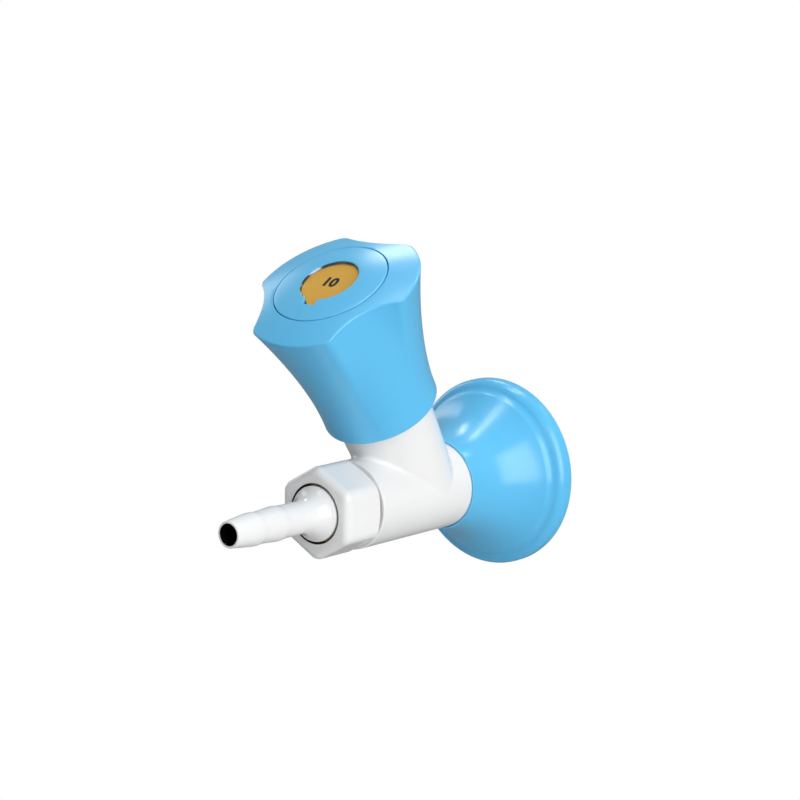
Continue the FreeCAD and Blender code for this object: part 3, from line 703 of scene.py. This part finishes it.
# %% Outline of the window and its key
CAP_R, WINDOW_R, CAP_STEPS = 16.05, 8.4, 360
KEY_TURN, KEY_REACH, KEY_SIDE = math.radians(-91), 10.4, 2.05
NOTCH_WIDTH, NOTCH_NARROWS = 4.95, 1.2
TAB_WIDTH, TAB_NARROWS, DISC_PLAY = 5.25, 2.85, 0.12


def keyed_outline(radius, width, narrow, reach, side):
    """Points round a circle that has one key. The key has a straight side at this distance from its
    middle line. The other side closes in, so the key narrows from its width to its end."""
    root = WINDOW_R - 1
    lean = narrow / (reach - root)

    def ray(angle):
        """Distance to the outline at an angle from the key's middle line."""
        x, y = math.cos(angle), math.sin(angle)
        if x <= 0:
            return radius
        spokes = [reach / x]
        if y > 0:
            spokes.append(side / y)
        low = width - side + lean * root
        if lean * x - y > 1e-6:
            spokes.append(low / (lean * x - y))
        return max(radius, min(spokes))

    corners = [math.atan2(side, reach), math.atan2(side - width + narrow, reach)]
    angles = sorted([2 * math.pi * i / CAP_STEPS - math.pi for i in range(CAP_STEPS - 2)] + corners)
    return [(ray(a) * math.cos(a + KEY_TURN), ray(a) * math.sin(a + KEY_TURN)) for a in angles]


window = keyed_outline(WINDOW_R, NOTCH_WIDTH, NOTCH_NARROWS, KEY_REACH, KEY_SIDE)
disc_outline = keyed_outline(WINDOW_R - DISC_PLAY, TAB_WIDTH, TAB_NARROWS, KEY_REACH - DISC_PLAY,
                             KEY_SIDE - DISC_PLAY)
print("window outline:", len(window), "points")

# %% Rows of points between closed outlines
def lofted(rows, capped=False):
    """Vertices and faces between closed rows of as many points each. The last row joins the first,
    or both are capped."""
    count, steps = len(rows), len(rows[0])
    vertices = [point for row in rows for point in row]
    faces = [(a * steps + i, a * steps + (i + 1) % steps, (a + 1) % count * steps + (i + 1) % steps,
              (a + 1) % count * steps + i) for a in range(count - capped) for i in range(steps)]
    if capped:
        faces += [tuple(range(steps - 1, -1, -1)), tuple(range((count - 1) * steps, count * steps))]
    return vertices, faces


def pushed(outline, distance):
    """The outline with every point moved outwards, square to its neighbours."""
    moved = []
    for i, (x, y) in enumerate(outline):
        (ax, ay), (bx, by) = outline[i - 1], outline[(i + 1) % len(outline)]
        run = math.hypot(bx - ax, by - ay)
        moved.append((x + (by - ay) / run * distance, y - (bx - ax) / run * distance))
    return moved


# %% Cap ring
DISC_SUNK, DISC_THICK = 0.85, 1.6
DISC_TOP_H = dome(WINDOW_R) - DISC_SUNK
DISC_FLOOR_H = DISC_TOP_H - DISC_THICK
CAP_HOLE_R, UNDERSIDE_R = 6.9, 12.0
EDGE, EDGE_STEPS, DOME_ROWS = 0.14, 4, 10

rim_circle = [(math.cos(math.atan2(y, x)), math.sin(math.atan2(y, x))) for x, y in window]
slopes = [math.pi / 2 * step / EDGE_STEPS for step in range(EDGE_STEPS + 1)]


def round_row(r, z):
    """A round row with a point at the same angle as each point of the window's outline."""
    return [(u * r, v * r, z) for u, v in rim_circle]


def dome_row(share):
    """Points on the dome, at a share of the way from the window's edge to the rim."""
    start = pushed(window, EDGE)
    row = [(a + (u * (CAP_R - EDGE) - a) * share, b + (v * (CAP_R - EDGE) - b) * share)
           for (a, b), (u, v) in zip(start, rim_circle)]
    return [(x, y, dome(math.hypot(x, y))) for x, y in row]


cap_rows = []
for slope in slopes[:-1]:
    inner = pushed(window, EDGE * (1 - math.cos(slope)))
    cap_rows.append([(x, y, dome(math.hypot(x, y)) - EDGE * (1 - math.sin(slope))) for x, y in inner])
cap_rows += [dome_row(k / DOME_ROWS) for k in range(DOME_ROWS + 1)]
for slope in slopes[-2::-1]:
    r = CAP_R - EDGE * (1 - math.cos(slope))
    cap_rows.append(round_row(r, dome(r) - EDGE * (1 - math.sin(slope))))
cap_rows += [round_row(CAP_R, SEAT_H), round_row(UNDERSIDE_R, SEAT_H), round_row(CAP_HOLE_R, SEAT_H),
             round_row(CAP_HOLE_R, DISC_FLOOR_H), [(x, y, DISC_FLOOR_H) for x, y in window]]
dressed("cap_ring_moulding", plain_mesh("cap_ring", *lofted(cap_rows)), ON_KNOB, "knob", "cap_ring",
        [blue_polyamide])

# %% [markdown]
# The disc is lofted in the same way from its own outline, which stays a little inside the window's,
# so that it drops in. Rows at a share of the outline's radius close its top and its underside.

# %% Index disc
disc_rows = [[(x, y, DISC_FLOOR_H) for x, y in disc_outline]]
for slope in slopes:
    inner = pushed(disc_outline, -EDGE * (1 - math.cos(slope)))
    disc_rows.append([(x, y, DISC_TOP_H - EDGE * (1 - math.sin(slope))) for x, y in inner])
for share in (0.9, 0.6, 0.2):
    disc_rows.append([(x * share, y * share, DISC_TOP_H) for x, y in inner])
    disc_rows.insert(0, [(x * share, y * share, DISC_FLOOR_H) for x, y in inner])
dressed("amber_disc", plain_mesh("index_disc", *lofted(disc_rows, capped=True)), ON_KNOB, "knob",
        "index_disc", [amber_acrylic])

# %% [markdown]
# A thin steel bezel holds the disc down. Its face is a narrow cone round the window, open at the key,
# so it mirrors the room as a fine line, and its steel is coloured darker than the turned steel as
# painted shade, so that line stays grey. It is lofted the other way about from the cap: each row
# is its cross-section, and the rows follow the window round. A plain number is printed on the disc.
# It reads along the knob's own X axis, and its ink is a film that stands about two hundredths of a
# millimetre above the acrylic.

# %% Bezel
BEZEL_FACE, BEZEL_DROP, BEZEL_STEPS = 0.36, 0.2, 150
BEZEL_START, BEZEL_END = math.radians(15), math.radians(338)
BEZEL_PLAY, BEZEL_TOP, BEZEL_SUNK, BEZEL_FOOT = 0.01, 0.08, 0.05, 0.02

bezel_section = [
    (WINDOW_R - BEZEL_PLAY, DISC_TOP_H - BEZEL_SUNK), (WINDOW_R - BEZEL_PLAY, dome(WINDOW_R) - BEZEL_DROP),
    (WINDOW_R - BEZEL_TOP, dome(WINDOW_R) - BEZEL_DROP), (WINDOW_R - BEZEL_FACE, DISC_TOP_H + BEZEL_FOOT),
    (WINDOW_R - BEZEL_FACE, DISC_TOP_H - BEZEL_SUNK)]
bezel_rows = []
for step in range(BEZEL_STEPS + 1):
    a = KEY_TURN + BEZEL_START + (BEZEL_END - BEZEL_START) * step / BEZEL_STEPS
    bezel_rows.append([(r * math.cos(a), r * math.sin(a), z) for r, z in bezel_section])
# Steel darker than the turned steel: painted shade for the dark band at the window's far wall.
bezel_shade_steel = material("polished_steel", turned_metal("8A8E96", "70747C", 0.2, ON_KNOB))
dressed("window_bezel", plain_mesh("window_bezel", *lofted(bezel_rows, capped=True)), ON_KNOB, "knob",
        None, [bezel_shade_steel])

# %% Number
NUMBER_HEIGHT, INK_BOLDER, INK_HALF, INK_MIDDLE = 3.9, 0.05, 0.01, 0.012


def printed(letters, height):
    """Flat letters as a thin solid, centred on the origin, with capitals of this height."""
    curve = bpy.data.curves.new(letters, "FONT")
    curve.body, curve.align_x, curve.align_y = letters, "CENTER", "CENTER"
    curve.extrude, curve.offset = INK_HALF, INK_BOLDER
    holder = placed(letters, curve)
    bpy.context.view_layer.update()
    mesh = bpy.data.meshes.new_from_object(holder)
    bpy.data.objects.remove(holder)
    tall = max(v.co.y for v in mesh.vertices) - min(v.co.y for v in mesh.vertices)
    mesh.transform(Matrix.Diagonal((height / tall, height / tall, 1, 1)))
    return mesh


black_ink = material("black_ink", soft_seal("030303", "060606", 0.7))
number_mesh = printed("10", NUMBER_HEIGHT)
number_mesh.transform(Matrix.Translation((0, 0, DISC_TOP_H + INK_MIDDLE)))
dressed("disc_number", number_mesh, ON_KNOB, "knob", None, [black_ink])

# %% [markdown]
# ## Screw threads
# A thread is a ridge that climbs round a cylinder, and it follows one simple rule, so Geometry Nodes
# make it. The usual way, a cylinder whose points are pushed out by their height, leaves jagged
# crests, because level rows of points cross the climbing ridge. Here the rows themselves climb: each
# runs along the helix, so one row is all crest and another all root. At both ends the rows are
# flattened onto a level circle, and the doubles that this leaves are merged.

# %% The height of each point on a thread
ROUND_STEPS, ROWS_PER_PITCH = 144, 10

winding, thread_size = new_tree("screw_thread", {
    "Pitch": 1.0, "Start": 0.0, "End": 10.0, "Crest radius": 5.0, "Root radius": 4.5, "Turns": 10})
start, end = thread_size["Start"], thread_size["End"]

turns_made = add(winding, MATH, (thread_size["Turns"], 1), operation="ADD")
rows_made = add(winding, MATH, (turns_made, ROWS_PER_PITCH, 1), operation="MULTIPLY_ADD")
grid = add(winding, "GeometryNodeMeshGrid", {
    "Size X": 1.0, "Size Y": 1.0, "Vertices X": ROUND_STEPS + 1,
    "Vertices Y": add(winding, "FunctionNodeFloatToInt", (rows_made,))})
on_grid = position_of(winding)
around = add(winding, MATH, (on_grid["X"], 0.5), operation="ADD")
climbed = add(winding, MATH, (on_grid["Y"], 0.5), operation="ADD")
climbed = add(winding, MATH, (climbed, turns_made), operation="MULTIPLY")
pitches = add(winding, MATH, (climbed, 1), operation="SUBTRACT")
pitches = add(winding, MATH, (pitches, around), operation="ADD")
height = add(winding, MATH, (pitches, thread_size["Pitch"], start), operation="MULTIPLY_ADD")
height = add(winding, MATH, (height, start), operation="MAXIMUM")
height = add(winding, MATH, (height, end), operation="MINIMUM")
print("thread tree so far:", len(winding.nodes), "nodes")

# %% The radius of each point on a thread
ROOT_SHARE, CREST_SHARE = 0.06, 0.42
DOUBLES_MM = 0.0005

# 0 in the root and 1 on the crest, with narrow flats on both
share = add(winding, MATH, (climbed, 0.5), operation="PINGPONG")
ridge = add(winding, "ShaderNodeMapRange", {"Value": share, "From Min": ROOT_SHARE, "From Max": CREST_SHARE},
            interpolation_type="SMOOTHERSTEP")
full_depth = add(winding, MATH, (thread_size["Crest radius"], thread_size["Root radius"]),
                 operation="SUBTRACT")
depth = add(winding, MATH, (ridge, full_depth), operation="MULTIPLY")
# The ridge runs out at both ends, where it is never deeper than its distance from the end.
for high, low in ((height, start), (end, height)):
    from_end = add(winding, MATH, (high, low), operation="SUBTRACT")
    depth = add(winding, MATH, (depth, from_end), operation="MINIMUM")
radius = add(winding, MATH, (thread_size["Root radius"], depth), operation="ADD")
angle = add(winding, MATH, (around, 2 * math.pi), operation="MULTIPLY")
wound = add(winding, "GeometryNodeSetPosition", {
    "Geometry": grid, "Position": on_spoke(winding, radius, angle, height)})
merged = add(winding, "GeometryNodeMergeByDistance", {"Geometry": wound, "Distance": DOUBLES_MM})
closed_tree(winding, merged, outlet_brass)
print("thread tree:", len(winding.nodes), "nodes")

# %% Threads and round rows
def thread(pitch, start, end, crest, root):
    """Vertices and faces of an open threaded surface."""
    mesh = grown("thread", bpy.data.meshes.new("seed"), winding, pitch=pitch, start=start, end=end,
                 crest_radius=crest, root_radius=root, turns=float(math.ceil((end - start) / pitch)))
    return [tuple(v.co) for v in mesh.vertices], [tuple(face.vertices) for face in mesh.polygons]


def row_of(radii, z):
    """A row of points from radii. z is a height, or gives the height for a radius."""
    return [(r * math.cos(a), r * math.sin(a), z(r) if callable(z) else z)
            for r, a in zip(radii, (2 * math.pi * i / ROUND_STEPS for i in range(ROUND_STEPS)))]


def circle_rows(*corners):
    """A round row for each (r, z) corner."""
    return [row_of([r] * ROUND_STEPS, z) for r, z in corners]


def joined(*parts):
    """One list of vertices and one of faces from several."""
    vertices, faces = [], []
    for some, others in parts:
        faces += [tuple(i + len(vertices) for i in face) for face in others]
        vertices += some
    return vertices, faces


def open_rows(rows):
    """Faces between rows, without those that would join the last row to the first."""
    vertices, faces = lofted(rows)
    return vertices, faces[:-len(rows[0])]


print("faces in a band between two round rows:", len(open_rows(circle_rows((5, 0), (5, 1)))[1]))

# %% [markdown]
# ## Hexagons
# A hexagon for a spanner is not round, so it can't be swung. Its rows of points follow the hexagon's
# outline instead, one point for each of the round steps, so that they still join to round rows. The
# upright edges are rounded in the outline itself. Where a turned cone trims the corners, the edge row
# rises with its radius. The front of the union nut has a wide soft rounding that follows the hexagon,
# so each of its rows is the same outline with its flats moved inwards.

# %% Hexagon rows
# Inset and depth of the rows that make one soft edge
EDGE_PROFILE = ((0.25, 0.0), (0.07, 0.07), (0.0, 0.25))


def hexagon(across_flats, rounding):
    """Radii of a hexagon with a corner at the top and rounded corners, one for each round step."""
    flat = across_flats / 2
    third = math.tan(math.radians(30))
    centre = Vector((flat - rounding, (flat - rounding) * third))
    radii = []
    for i in range(ROUND_STEPS):
        off = abs((2 * math.pi * i / ROUND_STEPS + math.radians(30)) % math.radians(60) - math.radians(30))
        r = flat / math.cos(off)
        if r * math.sin(off) > centre.y:
            along = centre.dot(Vector((math.cos(off), math.sin(off))))
            r = along + math.sqrt(along ** 2 - centre.length_squared + rounding ** 2)
        radii.append(r)
    return radii


def trimmed_rows(across_flats, rounding, end, cone):
    """Soft edge rows at one end of a hexagon, where a cone reaches this far along it at a sharp corner."""
    flat, radii = across_flats / 2, hexagon(across_flats, rounding)
    slope = cone / (flat / math.cos(math.radians(30)) - flat)
    rows = []
    for inset, depth in EDGE_PROFILE:
        rows.append(row_of([r - inset for r in radii],
                           lambda r: end + max(0.0, r + inset - flat) * slope + math.copysign(depth, cone)))
    return rows


print(f"a hexagon 23 mm across its flats is {2 * max(hexagon(23.0, 0.0)):.2f} mm across its corners")

# %% Union nut
NUT_AF, NUT_CORNER, NUT_BACK, NUT_FACE, NUT_LIP = 23.0, 3.2, 67.8, 82.1, 79.6
HOLE_R, NUT_BORE_R, FRONT_ROUND, FRONT_STEPS, BACK_CONE = 8.35, 9.0, 2.0, 8, 1.3

nut_rows = circle_rows((HOLE_R, NUT_LIP), (HOLE_R, NUT_FACE - 0.2), (HOLE_R + 0.06, NUT_FACE - 0.06),
                       (HOLE_R + 0.2, NUT_FACE), (HOLE_R + 0.7, NUT_FACE))
for step in range(FRONT_STEPS + 1):
    slope = math.radians(90 - 90 * step / FRONT_STEPS)
    inset = FRONT_ROUND * (1 - math.cos(slope))
    nut_rows.append(row_of(hexagon(NUT_AF - 2 * inset, NUT_CORNER - inset),
                           NUT_FACE - FRONT_ROUND * (1 - math.sin(slope))))
nut_rows += trimmed_rows(NUT_AF, NUT_CORNER, NUT_BACK, BACK_CONE)[::-1]
nut_rows += circle_rows((NUT_AF / 2 - 0.3, NUT_BACK), (NUT_BORE_R + 0.5, NUT_BACK),
                        (NUT_BORE_R, NUT_BACK + 0.5), (NUT_BORE_R, NUT_LIP - 0.1),
                        (NUT_BORE_R - 0.1, NUT_LIP))


def nut_finish(r, z):
    """Near-black brass in the hole and in the threaded bore as painted shade, coat on the rest."""
    return int(r < HOLE_R + 0.1 and z < NUT_FACE - 0.15 or r < NUT_BORE_R + 0.4 and z < NUT_FACE - 1)


dressed("union_nut_hexagon", plain_mesh("union_nut", *lofted(nut_rows)), ON_OUTLET, "nut", "union_nut",
        [coat_white, shade_painted_brass], which=nut_finish)

# %% [markdown]
# ## The hose nozzle
# The nozzle is turned from one bar: a tip, two barbs that let a hose on and hold it, a stem, and a
# bell that spreads into the collar under the nut. Paint has softened the barbs. The coat stops at
# the mouth. The bore is given a near-black brass as painted shade, and the plug inside the body is
# bare brass.

# %% Hose nozzle
TIP_R, TIP_S, BORE_R, STEM_R, STEM_S = 3.65, 116.9, 3.0, 4.5, 90.5
BARBS = [(4.63, 107.8), (4.3, 105.6), (4.83, 98.6), (4.5, 96.4)]
BARB_ROUND = 8.0
BELL_MIDDLE, BELL_END = (5.2, 85.51), (7.02, 82.85)
SHOULDER_R, SHOULDER_S, COLLAR_R, COLLAR_S, COLLAR_BACK_S = 7.65, 82.3, 8.85, 79.5, 77.9
PLUG_R, PLUG_END_S, RING_R, RING_FRONT_S, RING_BACK_S = 6.03, 70.8, 4.83, 75.55, 73.65

bell = arc((STEM_R, STEM_S), BELL_MIDDLE, BELL_END, 14)
nozzle_section = softened(
    [(BORE_R, TIP_S, 0.12), (TIP_R, TIP_S, 0.5)] + [(r, s, BARB_ROUND) for r, s in BARBS]
    + [(STEM_R, STEM_S)] + bell[:-1]
    + [(*BELL_END, 0.5), (SHOULDER_R, SHOULDER_S, 0.25), (SHOULDER_R, COLLAR_S),
       (COLLAR_R, COLLAR_S, 0.15), (COLLAR_R, COLLAR_BACK_S, 0.15), (PLUG_R, COLLAR_BACK_S),
       (PLUG_R, RING_FRONT_S, 0.1), (RING_R, RING_FRONT_S, 0.2), (RING_R, RING_BACK_S, 0.2),
       (PLUG_R, RING_BACK_S, 0.1), (PLUG_R, PLUG_END_S, 0.4), (BORE_R, PLUG_END_S, 0.15)])


def nozzle_finish(r, z):
    """Coat outside, bare brass on the plug and the collar's back, near-black brass in the bore as painted
    shade.
    """
    return 2 if r < BORE_R + 0.05 else int(z < COLLAR_S + 0.1)


dressed("hose_nozzle_turned", plain_mesh("hose_nozzle", *swung(nozzle_section, 160)), ON_OUTLET, "nozzle",
        "hose_nozzle", [coat_white, outlet_brass, shade_painted_brass], which=nozzle_finish)

# %% [markdown]
# A flat rubber ring seals the tap against the fitting in the wall. It sits round the inlet, against
# the wrench hexagon, and is a plain turned ring with soft edges.

# %% Gasket
GASKET_HOLE_R, GASKET_R, GASKET_THICK = 10.58, 14.6, 2.0

gasket_section = softened([(GASKET_HOLE_R, 0, 0.25), (GASKET_R, 0, 0.3), (GASKET_R, GASKET_THICK, 0.3),
                           (GASKET_HOLE_R, GASKET_THICK, 0.25)])
dressed("wall_gasket", plain_mesh("wall_gasket", *swung(gasket_section, 160)), ON_OUTLET, "tap",
        "inlet_gasket", [seal_rubber])

# %% [markdown]
# ## The body
# The tube and the slanted boss are one brass forging, and the curve where they meet is hard to make
# from turned pieces. The frame's own mesh already has it with its cast fillet, so a copy of that mesh
# is merged and cut to the forging alone. The machined ends are made afresh, because their threads
# are what a fitter looks at first: the G 1/2 inlet that goes into the wall, and the M18 spigot under
# the union nut.

# %% Forging
HEX_TOP, TUBE_END = 9.0, 67.2


def forging_mesh():
    """The frame's body mesh between the wrench hexagon and the end of the tube, closed at both cuts."""
    shell = bmesh.new()
    shell.from_mesh(frame["nodes"]["valve_body"].data)
    bmesh.ops.transform(shell, matrix=ON_OUTLET.inverted(), verts=shell.verts)
    bmesh.ops.remove_doubles(shell, verts=shell.verts, dist=MERGE_MM)
    for level, direction in ((HEX_TOP - 0.01, -1), (TUBE_END - 0.001, 1)):
        cut = bmesh.ops.bisect_plane(
            shell, geom=shell.verts[:] + shell.edges[:] + shell.faces[:], dist=1e-5,
            plane_co=(0, 0, level), plane_no=(0, 0, direction), clear_outer=True)
        rims = [part for part in cut["geom_cut"] if isinstance(part, bmesh.types.BMEdge)]
        bmesh.ops.triangle_fill(shell, edges=rims, use_beauty=True)
    bmesh.ops.recalc_face_normals(shell, faces=shell.faces)
    mesh = bpy.data.meshes.new("forging")
    shell.to_mesh(mesh)
    print("forging:", len(mesh.polygons), "faces, open edges", sum(edge.is_boundary for edge in shell.edges))
    shell.free()
    return mesh


forging = forging_mesh()

# %% Threaded ends
PASSAGE_R, RELIEF_R, STUB_END = 3.5, 9.18, -14.0
INLET_PITCH, INLET_CREST_R, INLET_ROOT_R = 1.814, 10.4775, 9.316
WRENCH_AF, WRENCH_ROUND, WRENCH_FACE_R, WRENCH_BACK, WRENCH_CONE = 27.0, 0.4, 13.2, 2.0, 1.0
SPIGOT_PITCH, SPIGOT_CREST_R, SPIGOT_ROOT_R, SPIGOT_NECK_R = 1.0, 8.95, 8.39, 8.3
THREAD_START, THREAD_END, SPIGOT_END = TUBE_END + 1.2, TUBE_END + 10.2, TUBE_END + 10.6
SOCKET_R, SOCKET_S, OUTLET_R = 6.1, 70.3, 4.0

inlet = joined(
    open_rows(
        circle_rows((INLET_ROOT_R, STUB_END), (PASSAGE_R + 0.5, STUB_END), (PASSAGE_R, STUB_END + 0.5),
                    (PASSAGE_R, HEX_TOP), (WRENCH_FACE_R, HEX_TOP))
        + trimmed_rows(WRENCH_AF, WRENCH_ROUND, HEX_TOP, -WRENCH_CONE)
        + trimmed_rows(WRENCH_AF, WRENCH_ROUND, WRENCH_BACK, WRENCH_CONE)[::-1]
        + circle_rows((WRENCH_FACE_R, WRENCH_BACK), (RELIEF_R + 0.3, WRENCH_BACK),
                      (RELIEF_R, WRENCH_BACK - 0.3), (RELIEF_R, 0.0), (INLET_ROOT_R, 0.0))),
    thread(INLET_PITCH, STUB_END, 0.0, INLET_CREST_R, INLET_ROOT_R))
spigot = joined(
    open_rows(circle_rows(
        (SPIGOT_ROOT_R, THREAD_END), (SPIGOT_ROOT_R - 0.39, SPIGOT_END), (SOCKET_R + 0.6, SPIGOT_END),
        (SOCKET_R, TUBE_END + 10.0), (SOCKET_R, SOCKET_S), (OUTLET_R, SOCKET_S), (OUTLET_R, TUBE_END),
        (SPIGOT_NECK_R, TUBE_END), (SPIGOT_NECK_R, TUBE_END + 1.1), (SPIGOT_ROOT_R, THREAD_START))),
    thread(SPIGOT_PITCH, THREAD_START, THREAD_END, SPIGOT_CREST_R, SPIGOT_ROOT_R))
ends = plain_mesh("threaded_ends", *joined(inlet, spigot))
print("threaded ends:", len(ends.polygons), "faces")

# %% The whole body
whole = bmesh.new()
whole.from_mesh(forging)
whole.from_mesh(ends)
body_mesh = bpy.data.meshes.new("valve_body")
whole.to_mesh(body_mesh)
print("open edges in the body:", sum(edge.is_boundary for edge in whole.edges))
whole.free()


def body_finish(r, z):
    """Coat outside, bare brass on the machined ends, near-black brass in the passages as painted shade."""
    if r < SOCKET_R + 0.1 and z < TUBE_END + 10.5:
        return 2
    return int(z < WRENCH_BACK - 0.1 or z > TUBE_END + 0.05)


dressed("tap_body", body_mesh, ON_OUTLET, "tap", "valve_body", [coat_white, outlet_brass, shade_painted_brass],
        which=body_finish, crease=35)
